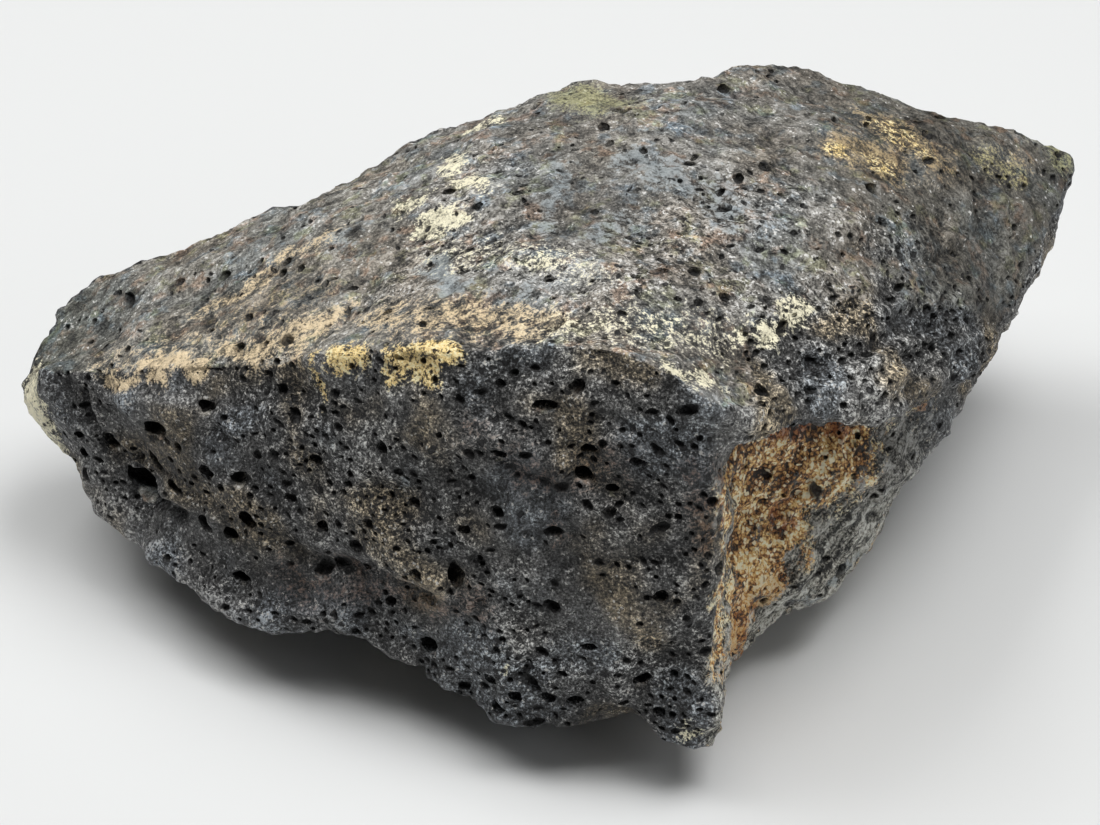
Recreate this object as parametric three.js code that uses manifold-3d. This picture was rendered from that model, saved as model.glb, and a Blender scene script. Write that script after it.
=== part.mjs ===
// A meteorite: one palm-sized stone, thick at its near corner and drawn out to a low left tip and a
// raised right tip. Its top is a gently domed crust, its front a steep face full of gas bubbles, and
// its right side a broken hollow under an overhanging ledge. Millimetres, +Z up, X along the length;
// the origin is on the ground under the middle of the stone.
import * as THREE from "three";
import { ImprovedNoise } from "three/addons/math/ImprovedNoise.js";
import { mergeVertices } from "three/addons/utils/BufferGeometryUtils.js";
import Module from "manifold-3d";

// ---- Driving dimensions ----

// The middle of the top crust, and how the crust falls away from its level part: it starts to fall
// at a place along the length and goes down by a share of the way past it.
const CROWN = [4, 4, 38.5];
const LEFT_FALL = { from: -3, slope: 0.42 };
const RIGHT_FALL = { from: 24, slope: 0.4 };
const BACK_FALL = { from: 6, slope: 0.14 };
const FALL_BLEND = 8; // over how many millimetres a fall sets in
const ROLL = 3.5; // how late the crust turns down to its rim: higher is nearer the rim

// The middle of the underside, below the ground so that the stone stands on a flat, and how fast
// the underside drops to it from its foot: higher is faster.
const KEEL = [2, 2, -1.8];
const BOWL = 1.7;

// How finely the stone is faceted.
const COLUMNS_PER_STATION = 3;
const CROWN_ROWS = 11;
const SIDE_ROWS = 14;
const UNDER_ROWS = 9;

// The stone's outline, station by station, anticlockwise from the left tip as seen from above:
// the rim where the crust turns down, the foot where the side turns under, and how far the side
// swells outwards at three depths between them (negative where it is hollow).
const SWELL_DEPTHS = [0.22, 0.5, 0.8];
const STATIONS = [
  { rim: [-45.2, 5.0, 17], foot: [-45.8, 5.0, 13], swell: [0.3, 0.5, 0.3] }, // left tip
  { rim: [-43.0, 1.0, 20], foot: [-43.5, 2.5, 10.5], swell: [0.3, 0.6, 0.5] },
  { rim: [-38.0, -2.0, 22], foot: [-39.5, -1.0, 9], swell: [0.6, 1.0, 0.8] },
  { rim: [-31.5, -5.0, 25], foot: [-32.5, -9.5, 8], swell: [0.8, 1.1, 0.7] },
  { rim: [-25.0, -8.5, 28], foot: [-25.5, -15.5, 7], swell: [1.0, 1.3, 0.6] },
  { rim: [-17.5, -12.0, 32], foot: [-18.0, -18.5, 8], swell: [1.0, 1.0, 0.3] },
  { rim: [-10.0, -15.5, 35], foot: [-10.0, -22.0, 6.5], swell: [0.8, 0.9, 0.3] },
  { rim: [-3.5, -17.0, 37], foot: [-4.0, -26.0, 6], swell: [0.6, 0.8, 0.3] },
  { rim: [2.5, -18.0, 38], foot: [3.0, -28.0, 6], swell: [0.6, 0.6, 0.0] },
  { rim: [8.0, -20.5, 38], foot: [8.5, -27.5, 7], swell: [0.4, 0.3, 0.0] },
  { rim: [12.0, -22.5, 36], foot: [12.5, -27.8, 5.8], swell: [0.0, 0.0, 0.0] }, // near corner
  { rim: [14.5, -21.5, 34], foot: [14.2, -22.0, 5], swell: [-2.0, -2.0, -1.0] },
  { rim: [17.5, -19.5, 32], foot: [17.5, -14.5, 4], swell: [-3.5, -3.0, 0.5] },
  { rim: [21.5, -16.5, 30], foot: [21.0, -10.5, 3.5], swell: [-3.8, -2.2, 2.2] },
  { rim: [26.0, -13.0, 27.5], foot: [25.5, -5.5, 3.5], swell: [-3.2, -0.2, 1.2] },
  { rim: [30.0, -9.0, 25], foot: [29.0, 0.5, 4], swell: [-2.2, 1.5, 0.2] },
  { rim: [33.8, -4.5, 23], foot: [32.5, 7.0, 7], swell: [-0.8, 1.2, 0.2] },
  { rim: [37.0, 0.5, 21.5], foot: [36.5, 9.5, 11], swell: [0.0, 0.8, 0.4] },
  { rim: [40.5, 9.5, 22], foot: [39.8, 12.5, 14.5], swell: [0.3, 0.5, 0.4] },
  { rim: [44.5, 19.0, 23.5], foot: [44.0, 21.0, 17], swell: [0.3, 0.4, 0.3] },
  { rim: [47.5, 26.5, 24], foot: [47.0, 26.3, 20], swell: [0.2, 0.3, 0.2] }, // right tip
  { rim: [42.0, 26.0, 26.5], foot: [40.0, 25.5, 13], swell: [0.6, 0.9, 0.6] },
  { rim: [34.0, 26.5, 29], foot: [32.5, 25.5, 9], swell: [0.9, 1.4, 1.0] },
  { rim: [27.5, 26.5, 31.5], foot: [25.0, 26.5, 7], swell: [1.2, 2.0, 1.4] },
  { rim: [21.5, 27.0, 34], foot: [18.0, 26.5, 6], swell: [1.2, 2.2, 1.6] }, // far corner
  { rim: [13.0, 24.8, 33.5], foot: [11.0, 24.0, 6], swell: [1.5, 2.8, 1.9] },
  { rim: [3.5, 25.5, 33], foot: [2.0, 22.5, 6], swell: [1.5, 2.8, 1.9] },
  { rim: [-4.5, 23.5, 31.5], foot: [-6.0, 20.5, 6], swell: [1.2, 2.3, 1.6] },
  { rim: [-13.0, 20.5, 28.5], foot: [-14.0, 17.5, 6.5], swell: [0.9, 1.8, 1.3] },
  { rim: [-22.0, 16.8, 26], foot: [-22.5, 14.5, 7], swell: [0.6, 1.5, 1.3] },
  { rim: [-30.5, 14.8, 23.8], foot: [-31.0, 12.0, 8], swell: [0.6, 1.3, 1.0] },
  { rim: [-38.0, 13.0, 21], foot: [-38.5, 10.5, 9], swell: [0.5, 0.9, 0.7] },
  { rim: [-43.0, 10.5, 19], foot: [-43.5, 8.5, 11], swell: [0.3, 0.6, 0.4] },
];

// ---- The stone's surface ----

const noise = new ImprovedNoise();

function mix(a, b, t) {
  return a + (b - a) * t;
}

// A closed curve through one point per station, read by its share of the way round.
function closedCurve(points) {
  return new THREE.CatmullRomCurve3(points.map((p) => new THREE.Vector3(...p)), true, "centripetal");
}

const rimCurve = closedCurve(STATIONS.map((s) => s.rim));
const footCurve = closedCurve(STATIONS.map((s) => s.foot));
const swellCurve = closedCurve(STATIONS.map((s) => s.swell));

// The horizontal direction that points away from the stone at a share of the way round.
function outward(share) {
  const ahead = rimCurve.getPoint((share + 0.004) % 1);
  const behind = rimCurve.getPoint((share + 0.996) % 1);
  return new THREE.Vector3(ahead.y - behind.y, behind.x - ahead.x, 0).normalize();
}

// The way past a place, which sets in smoothly.
function past(way) {
  return (way + Math.hypot(way, FALL_BLEND)) / 2;
}

// The height of the crust, left to itself, over a place.
function crustHeight(x, y) {
  return CROWN[2]
    - LEFT_FALL.slope * past(LEFT_FALL.from - x)
    - RIGHT_FALL.slope * past(x - RIGHT_FALL.from)
    - BACK_FALL.slope * past(y - BACK_FALL.from);
}

// A point of the crust, from the crown (depth 0) to the rim (depth 1).
function crustPoint(share, depth) {
  const rim = rimCurve.getPoint(share);
  const point = new THREE.Vector3(...CROWN).lerp(rim, depth);
  const rimDrop = rim.z - crustHeight(rim.x, rim.y);
  point.z = crustHeight(point.x, point.y) + rimDrop * Math.pow(depth, ROLL);
  return point;
}

// How far the side swells at a depth, run smoothly from one given depth to the next.
function swellAt(share, depth) {
  const depths = [0, ...SWELL_DEPTHS, 1];
  const swells = [0, ...swellCurve.getPoint(share).toArray(), 0];
  const next = Math.max(1, depths.findIndex((d) => d >= depth));
  const way = (depth - depths[next - 1]) / (depths[next] - depths[next - 1]);
  return mix(swells[next - 1], swells[next], THREE.MathUtils.smoothstep(way, 0, 1));
}

// A point of the side, from the rim (depth 0) to the foot (depth 1).
function sidePoint(share, depth) {
  const straight = rimCurve.getPoint(share).lerp(footCurve.getPoint(share), depth);
  return straight.addScaledVector(outward(share), swellAt(share, depth));
}

// A point of the underside, from the foot (depth 0) to the keel (depth 1).
function underPoint(share, depth) {
  const foot = footCurve.getPoint(share);
  const keel = new THREE.Vector3(...KEEL);
  const inwards = foot.clone().lerp(keel, depth);
  inwards.z = mix(keel.z, foot.z, Math.pow(1 - depth, BOWL));
  return inwards;
}


// ---- Relief: what the weather and the bubbles did to the smooth form ----

// Lumps of the whole surface: the size of one lump and how far it stands out.
const LUMPS = [
  { size: 15, height: 0.9 },
  { size: 6.5, height: 0.6 },
  { size: 3.2, height: 0.35 },
];

// Single swellings (height above zero) and hollows (below), by their middle and their reach.
const SWELLINGS = [
  { at: [12, -25, 20], reach: 3.5, height: 0.5 }, // the near corner's upright edge
  { at: [10, -27.5, 7], reach: 2.5, height: 0.5 }, // its foot
  { at: [5.5, -27.5, 6], reach: 2.2, height: -1.6 }, // the notch beside it
  { at: [6, -24, 22], reach: 6.0, height: 0.5 }, // the cushion left of the near corner
  { at: [3, -26.5, 10.5], reach: 3.5, height: 0.8 }, // the lip along the front's foot
  { at: [-3, -25.5, 10.5], reach: 3.5, height: 0.8 },
  { at: [0, -24, 14.5], reach: 3.0, height: -0.6 }, // the dip above that lip
  { at: [-12, -18.5, 19], reach: 4.5, height: 0.8 }, // the lobe in the front's middle
  { at: [-13, -18.5, 13.5], reach: 3.0, height: -0.9 }, // the step under the lobe
  { at: [-19, -16.5, 14], reach: 3.0, height: -0.9 },
  { at: [-31, -7, 22], reach: 5.5, height: 0.9 }, // the boss by the left tip
  { at: [-37.5, -3, 18], reach: 2.2, height: -0.9 }, // the fold round that boss
  { at: [-35, -5.5, 13.5], reach: 2.5, height: -1.2 },
  { at: [-29, -10.5, 12.5], reach: 2.5, height: -0.6 },
  { at: [-14, -20, 6], reach: 5.0, height: -0.8 }, // the hollow in the front's foot
  { at: [27, -9, 30], reach: 5.0, height: 0.8 }, // the roll over the ledge
  { at: [35, 3, 26], reach: 5.0, height: 0.6 },
];

// How far the surface stands out from the smooth form at a point.
function relief(point) {
  let height = 0;
  for (const lump of LUMPS) {
    const p = point.clone().divideScalar(lump.size);
    height += lump.height * noise.noise(p.x, p.y, p.z);
  }
  for (const swelling of SWELLINGS) {
    const away = point.distanceTo(new THREE.Vector3(...swelling.at)) / swelling.reach;
    height += swelling.height * Math.exp(-away * away);
  }
  return height;
}

// ---- The closed mesh ----

const COLUMNS = COLUMNS_PER_STATION * STATIONS.length;
const FEWEST_COLUMNS = 8;

// One ring of points at a depth of one of the three surfaces, with as many points as it has room for.
function ring(surface, depth, fullness) {
  const count = Math.max(FEWEST_COLUMNS, Math.round(COLUMNS * fullness));
  return Array.from({ length: count }, (_, i) => surface(i / count, depth));
}

function allRings() {
  const rings = [[crustPoint(0, 0)]];
  for (let row = 1; row <= CROWN_ROWS; row++) {
    const depth = row / CROWN_ROWS;
    rings.push(ring(crustPoint, depth, depth));
  }
  for (let row = 1; row <= SIDE_ROWS; row++) {
    rings.push(ring(sidePoint, row / SIDE_ROWS, 1));
  }
  for (let row = 1; row < UNDER_ROWS; row++) {
    const depth = row / UNDER_ROWS;
    rings.push(ring(underPoint, depth, 1 - depth));
  }
  rings.push([underPoint(0, 1)]);
  return rings;
}

// The triangles between two rings, which may differ in their number of points.
function stitch(upper, lower) {
  const triangles = [];
  let i = 0;
  let j = 0;
  while (i < upper.count || j < lower.count) {
    const a = upper.first + (i % upper.count);
    const b = lower.first + (j % lower.count);
    const upperNext = upper.count > 1 && i < upper.count ? (i + 1) / upper.count : 2;
    const lowerNext = lower.count > 1 && j < lower.count ? (j + 1) / lower.count : 2;
    if (upperNext === 2 && lowerNext === 2) break;
    if (lowerNext <= upperNext) {
      j += 1;
      triangles.push(a, b, lower.first + (j % lower.count));
    } else {
      i += 1;
      triangles.push(a, b, upper.first + (i % upper.count));
    }
  }
  return triangles;
}

// The stone before its bubbles are cut: rings stitched together, pushed out by the relief and
// flattened where it stands on the ground.
function roughStone() {
  const points = [];
  const spans = allRings().map((r) => {
    points.push(...r);
    return { first: points.length - r.length, count: r.length };
  });
  const triangles = spans.slice(1).flatMap((lower, i) => stitch(spans[i], lower));
  const geometry = new THREE.BufferGeometry();
  geometry.setFromPoints(points);
  geometry.setIndex(triangles);
  geometry.computeVertexNormals();
  const position = geometry.getAttribute("position");
  const normal = geometry.getAttribute("normal");
  const out = new THREE.Vector3();
  points.forEach((point, i) => {
    out.fromBufferAttribute(normal, i);
    point.addScaledVector(out, relief(point));
    position.setXYZ(i, point.x, point.y, Math.max(0, point.z));
  });
  geometry.computeVertexNormals();
  return geometry;
}

// ---- Gas bubbles ----

// The larger bubbles that break the surface. Each opens where a level line that starts in front of
// the stone, or behind it, first meets it: how far across and up that line is, the bubble's length
// and width, and by how many degrees its length rises to the right.
const FRONT_BUBBLES = [
  { at: [-40.0, 15.5], size: [1.1, 1.0], lean: 0 },
  { at: [-39.8, 13.0], size: [1.1, 1.0], lean: 0 },
  { at: [-37.0, 16.0], size: [2.3, 1.4], lean: -60 },
  { at: [-34.4, 12.7], size: [3.2, 2.0], lean: -35 }, // the wide hollow in the fold
  { at: [-34.3, 15.2], size: [2.2, 1.0], lean: -50 },
  { at: [-32.8, 16.4], size: [2.0, 0.9], lean: -50 },
  { at: [-32.6, 20.1], size: [2.0, 1.8], lean: 0 },
  { at: [-31.1, 15.2], size: [1.5, 1.0], lean: -45 },
  { at: [-30.5, 19.7], size: [1.0, 0.8], lean: -40 },
  { at: [-28.4, 13.6], size: [1.8, 1.2], lean: -50 },
  { at: [-27.8, 18.8], size: [1.5, 1.3], lean: 0 },
  { at: [-27.7, 24.0], size: [1.2, 1.1], lean: 0 },
  { at: [-26.2, 13.7], size: [1.4, 1.1], lean: -30 },
  { at: [-25.2, 19.2], size: [1.5, 1.3], lean: 0 },
  { at: [-24.6, 16.0], size: [1.8, 1.5], lean: -40 },
  { at: [-25.5, 10.2], size: [1.6, 1.1], lean: -20 },
  { at: [-18.5, 23.2], size: [1.2, 0.8], lean: 0 },
  { at: [-18.2, 17.4], size: [1.3, 1.1], lean: 0 },
  { at: [-10.6, 17.0], size: [1.3, 1.1], lean: 0 },
  { at: [-7.5, 17.3], size: [2.4, 1.5], lean: 75 }, // the ragged pair in the middle
  { at: [-6.7, 22.0], size: [1.1, 0.9], lean: 30 },
  { at: [-3.9, 28.9], size: [1.5, 0.9], lean: -15 },
  { at: [-4.0, 24.2], size: [1.2, 0.9], lean: 0 },
  { at: [-0.3, 33.0], size: [2.6, 1.0], lean: 5 }, // the long one under the shoulder
  { at: [2.2, 34.7], size: [1.4, 1.2], lean: 0 },
  { at: [3.0, 30.2], size: [1.6, 1.0], lean: 10 },
  { at: [2.5, 28.1], size: [2.0, 1.3], lean: -15 },
  { at: [6.7, 30.1], size: [1.3, 0.9], lean: 0 },
  { at: [4.8, 27.3], size: [1.2, 0.9], lean: -20 },
  { at: [4.6, 25.8], size: [1.1, 0.8], lean: -20 },
  { at: [0.3, 23.1], size: [1.7, 1.0], lean: 10 },
  { at: [8.5, 19.2], size: [1.4, 1.0], lean: -25 },
  { at: [3.1, 13.5], size: [1.3, 0.8], lean: 0 },
  { at: [7.3, 10.9], size: [2.0, 1.2], lean: 15 },
  { at: [-9.6, 9.4], size: [1.7, 1.5], lean: -45 },
  { at: [-2.7, 8.5], size: [1.3, 1.1], lean: 0 },
  { at: [2.0, 8.6], size: [2.0, 0.9], lean: 10 },
  { at: [-4.0, 6.9], size: [1.2, 0.9], lean: -20 },
  { at: [8.8, 8.4], size: [1.1, 1.0], lean: 0 },
  { at: [31.6, 27.3], size: [1.2, 1.0], lean: 0 }, // in the roll over the ledge
  { at: [20.1, 31.9], size: [1.2, 0.9], lean: 0 },
];
const BACK_BUBBLES = [
  { at: [-27.0, 15.0], size: [1.8, 1.3], lean: 20 },
  { at: [-12.0, 19.0], size: [1.6, 1.4], lean: 0 },
  { at: [-3.0, 13.0], size: [2.2, 1.3], lean: 30 },
  { at: [6.0, 22.0], size: [1.5, 1.2], lean: 0 },
  { at: [14.0, 14.0], size: [1.9, 1.4], lean: -20 },
  { at: [26.0, 20.0], size: [1.6, 1.1], lean: 10 },
];
const BUBBLE_DEPTH = 0.75; // how deep a bubble goes, as a share of its width
const CLEAR = 100; // further out than any point of the stone
const WELD = 0.01; // corners closer than this are one

const wasm = await Module();
wasm.setup();

function toSolid(geometry) {
  const bare = new THREE.BufferGeometry().setIndex(geometry.index);
  bare.setAttribute("position", geometry.getAttribute("position"));
  const merged = mergeVertices(bare);
  return new wasm.Manifold(new wasm.Mesh({
    numProp: 3,
    vertProperties: new Float32Array(merged.getAttribute("position").array),
    triVerts: new Uint32Array(merged.index.array),
  }));
}

function toGeometry(solid) {
  const mesh = solid.getMesh();
  const geometry = new THREE.BufferGeometry();
  geometry.setAttribute("position", new THREE.BufferAttribute(new Float32Array(mesh.vertProperties), 3));
  geometry.setIndex(new THREE.BufferAttribute(new Uint32Array(mesh.triVerts), 1));
  return welded(geometry);
}

// The same surface with its slivers closed up: corners that nearly meet become one.
function welded(geometry) {
  const merged = mergeVertices(geometry, WELD);
  const corners = merged.index.array;
  const kept = [];
  for (let i = 0; i < corners.length; i += 3) {
    const [a, b, c] = corners.slice(i, i + 3);
    if (a !== b && b !== c && c !== a) kept.push(a, b, c);
  }
  merged.setIndex(kept);
  return merged;
}

// A round cutter for one bubble, sunk half way into the surface that a level line meets.
function bubbleCutter(rock, bubble, towards) {
  const [across, up] = bubble.at;
  const ray = new THREE.Raycaster(
    new THREE.Vector3(across, -CLEAR * towards, up),
    new THREE.Vector3(0, towards, 0),
  );
  const hit = ray.intersectObject(rock)[0];
  const out = hit.face.normal;
  const level = new THREE.Vector3(0, 0, 1).cross(out).normalize();
  const along = level.applyAxisAngle(out, THREE.MathUtils.degToRad(bubble.lean));
  const beside = out.clone().cross(along);
  const [length, width] = bubble.size;
  const cutter = new THREE.IcosahedronGeometry(1, 1);
  cutter.scale(length / 2, width / 2, width * BUBBLE_DEPTH);
  cutter.applyMatrix4(new THREE.Matrix4().makeBasis(along, beside, out));
  cutter.translate(...hit.point.toArray());
  cutter.deleteAttribute("normal");
  cutter.deleteAttribute("uv");
  return toSolid(mergeVertices(cutter));
}

function cutBubbles(rough) {
  const rock = new THREE.Mesh(rough);
  const cutters = [
    ...FRONT_BUBBLES.map((bubble) => bubbleCutter(rock, bubble, 1)),
    ...BACK_BUBBLES.map((bubble) => bubbleCutter(rock, bubble, -1)),
  ];
  return toGeometry(cutters.reduce((solid, cutter) => solid.subtract(cutter), toSolid(rough)));
}

// ---- The part ----

// Moves the stone so that the middle of its plan is over the origin.
function centred(geometry) {
  geometry.computeBoundingBox();
  const middle = geometry.boundingBox.getCenter(new THREE.Vector3());
  geometry.translate(-middle.x, -middle.y, 0);
  geometry.computeVertexNormals();
  return geometry;
}

const stone = new THREE.Mesh(
  centred(cutBubbles(roughStone())),
  new THREE.MeshStandardMaterial({ color: 0x35332f, roughness: 0.8, metalness: 0.0 }),
);
stone.name = "stone";

const meteorite = new THREE.Group();
meteorite.add(stone);

export default meteorite;
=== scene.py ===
"""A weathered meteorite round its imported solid, laid out as a Blender add-on and run as a script."""

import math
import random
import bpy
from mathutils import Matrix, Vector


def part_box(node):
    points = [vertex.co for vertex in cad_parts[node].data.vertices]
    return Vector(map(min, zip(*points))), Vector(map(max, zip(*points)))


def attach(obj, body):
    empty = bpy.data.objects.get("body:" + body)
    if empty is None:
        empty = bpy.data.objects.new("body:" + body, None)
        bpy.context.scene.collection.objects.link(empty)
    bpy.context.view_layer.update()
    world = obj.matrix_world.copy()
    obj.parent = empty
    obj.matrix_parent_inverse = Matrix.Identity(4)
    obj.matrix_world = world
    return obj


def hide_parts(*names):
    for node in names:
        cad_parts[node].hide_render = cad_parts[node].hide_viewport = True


bl_info = {
    "name": "Meteorite",
    "version": (1, 0, 0),
    "blender": (4, 5, 0),
    "location": "3D View > Sidebar > Meteorite",
    "description": "Builds a weathered, bubbly stone round its packed solid, with a stage to show it on",
    "category": "Object",
}

from collections import namedtuple

import bmesh
import bpy
import numpy as np
from bpy.props import FloatProperty, FloatVectorProperty, IntProperty, PointerProperty
from mathutils import Matrix, Vector, kdtree, noise
from mathutils.bvhtree import BVHTree

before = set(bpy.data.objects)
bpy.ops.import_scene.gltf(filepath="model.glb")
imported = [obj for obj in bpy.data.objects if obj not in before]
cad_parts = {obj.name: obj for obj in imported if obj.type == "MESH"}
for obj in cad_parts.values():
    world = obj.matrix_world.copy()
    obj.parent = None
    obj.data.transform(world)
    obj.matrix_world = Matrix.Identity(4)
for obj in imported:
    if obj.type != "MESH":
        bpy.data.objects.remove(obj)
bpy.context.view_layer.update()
LOW, HIGH = (Vector(corner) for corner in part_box("stone"))
SPAN = HIGH - LOW
MM = 0.001
SEED = 7


def spot(across, along, up):
    """A point of the stone's box, in hundredths of its length, of its width and of its height."""
    return Vector(LOW[i] + part / 100 * SPAN[i] for i, part in enumerate((across, along, up)))


# ---- What marks the surface ----
# Every place is given in hundredths of the stone's box, and every reach in millimetres.

Mark = namedtuple("Mark", "weight reach route")


def marks(*rows):
    """Marks from rows that give how strong each is, how far it reaches from its route, and the route."""
    return [Mark(*row) for row in rows]


# Stains, by their tint.
STAINS = {
    "tan": marks(
        (1.4, 1, [(10, 45, 59), (14, 43, 64), (19, 40, 70), (24, 38, 76)]),
        (0.45, 2.4, [(10, 49, 60), (17, 44, 68), (24, 40, 76), (30, 38, 82)]),
        (1, 1.8, [(24, 38, 76), (28, 36, 80), (31, 38, 83)]),
        (0.8, 2.4, [(35, 34, 87), (39, 30, 93), (44, 29, 94), (49, 26, 96)]),
        (0.85, 1.5, [(18, 53, 69), (22, 53, 74), (25, 56, 78), (30, 58, 82)]),
    ),
    "gold": marks(
        (1.2, 1.2, [(32, 28, 87), (33, 26, 87)]),
        (1.4, 1.2, [(37, 24, 92), (40, 22, 93)]),
        (1.1, 1, [(37, 24, 90), (39, 22, 91)]),
        (0.8, 0.9, [(30, 28, 77), (30, 30, 80)]),
        (0.6, 1, [(75, 71, 92), (79, 70, 88)]),
        (0.3, 1.8, [(80, 82, 87), (83, 77, 85)]),
    ),
    "ochre": marks(
        (1, 3, [(75.5, 72, 92), (79, 71, 88)]),
        (0.9, 3, [(80, 82, 87), (84, 76, 84)]),
        (0.6, 2.2, [(90, 83, 75), (94, 86, 71)]),
        (0.5, 3, [(22, 46, 74), (29, 46, 81)]),
        (0.5, 3, [(36, 30, 90), (44, 27, 94)]),
        (0.8, 2.2, [(1, 54, 44), (3, 53, 36)]),
    ),
    "cream": marks(
        (0.9, 1.4, [(40, 72, 88), (41, 64, 91), (43, 60, 93)]),
        (0.8, 1.3, [(36, 61, 88), (38, 60, 90)]),
        (1.4, 1.4, [(39, 53, 91), (41, 53, 93)]),
        (0.9, 1, [(48, 39, 96), (50, 38, 96)]),
        (1, 1.3, [(70, 35, 91), (68, 30, 91), (65, 28, 91)]),
        (0.9, 0.9, [(59, 16, 98), (61, 15, 96), (62, 15, 93)]),
        (0.7, 1.4, [(42, 83, 86), (44, 83, 86)]),
        (0.7, 0.7, [(46, 7, 28), (46, 7, 29)]),
        (0.8, 0.8, [(60, 2, 19), (61, 2, 18)]),
        (0.5, 3.2, [(50, 25, 98), (56, 25, 98), (62, 25, 95)]),
        (0.42, 3, [(40, 45, 92), (47, 42, 96), (52, 36, 97)]),
        (1.5, 2.2, [(1, 54, 42), (3, 53, 36), (3, 55, 28)]),
    ),
    "slate": marks(
        (1, 2.4, [(57, 63, 96), (60, 58, 97)]),
        (0.8, 2, [(53, 45, 97), (55, 48, 97)]),
        (1.1, 1.8, [(39, 43, 91), (41, 37, 93)]),
        (0.8, 1.5, [(45, 32, 95), (47, 33, 96)]),
        (0.8, 1.5, [(49, 50, 96), (50, 66, 95)]),
        (0.8, 1.8, [(28, 57, 82), (31, 56, 83)]),
        (0.7, 2.4, [(64, 56, 97), (65, 46, 97)]),
        (0.7, 1.2, [(36, 18, 63), (37, 17, 63)]),
        (0.8, 1.3, [(72, 26, 22), (75.7, 31, 21), (77.2, 35, 20)]),
    ),
    "rust": marks(
        (0.5, 2.6, [(44, 16, 80), (50, 13, 72), (55, 11, 79)]),
        (0.6, 2.4, [(27, 21, 30), (36, 17, 35), (43, 11, 41)]),
        (0.6, 1.4, [(61, 6, 64), (61, 10, 80)]),
        (0.7, 1, [(50, 10, 58), (50, 10, 63)]),
        (1.1, 1.5, [(70, 25, 74), (74, 31, 67), (79, 38, 61), (83, 45, 57)]),
        (0.8, 1.4, [(63, 10, 76), (62, 7, 64)]),
    ),
    "sulphur": marks(
        (1, 2.8, [(51, 89, 88), (54, 83, 92)]),
        (0.5, 1.8, [(90, 83, 75), (92, 84, 72)]),
        (0.7, 1.6, [(97, 94, 67), (98, 92, 64)]),
    ),
}

# Where the grain is coarse and glassy, with white and black specks side by side.
FROSTS = marks(
    (1, 3.5, [(40, 46, 92), (42, 43, 93), (45, 46, 95)]),
    (1, 3.5, [(47, 38, 96), (50, 36, 96), (53, 31, 98), (57, 34, 98)]),
    (1, 4.5, [(60, 42, 97), (62, 46, 97), (66, 51, 97)]),
    (1, 3, [(65, 33, 94), (70, 36, 91), (74, 39, 87)]),
    (0.8, 3, [(36, 42, 88), (40, 49, 91), (43, 66, 92)]),
    (0.9, 2.2, [(22, 35, 70), (26, 33, 77), (30, 27, 75)]),
    (0.9, 2.2, [(43, 21, 95), (47, 21, 97), (53, 21, 98), (57, 21, 96)]),
    (0.9, 2, [(19, 33, 58), (21, 32, 60)]),
    (0.9, 2.2, [(46, 7, 31), (53, 4, 34), (58, 4, 33)]),
    (0.7, 4, [(30, 24, 60), (35, 19, 58)]),
    (0.7, 3, [(71, 56, 94), (78, 52, 88), (84, 62, 80)]),
)

# The broken hollow's coat: "golden" where crystals cover it and "bare" where the stone shows. Its third mark
# is a maroon tint: partly the coat's own maroon, partly painted shade along the ledge's underside.
HOLLOW = {
    "golden": marks(
        (1, 3, [(66, 22, 66), (70, 29, 56), (74, 32, 52), (76, 34, 50)]),
        (1, 3, [(66, 24, 62), (66, 24, 45), (66, 21, 36), (65, 18, 26)]),
        (1, 2.6, [(65, 18, 26), (64, 14, 14)]),
        (0.9, 2.6, [(69, 28, 50), (72, 30, 46)]),
        (0.9, 2.6, [(70, 27, 40), (68, 23, 30)]),
        (0.8, 1.8, [(64, 12, 70), (64, 10, 50), (63, 8, 30)]),
    ),
    "bare": marks(
        (1, 2.6, [(81, 37, 40), (78, 34, 33), (75, 30, 27), (71, 25, 20)]),
    ),
    "maroon_and_shade": marks(
        (1, 1.5, [(69, 27.5, 44), (69.5, 27.5, 40)]),
        (1, 1.5, [(64, 14, 78), (67, 24, 68), (71, 30, 62), (76, 35, 57)]),
        (0.8, 1.6, [(63.5, 12, 72), (63.5, 10, 62)]),
    ),
}

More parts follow.
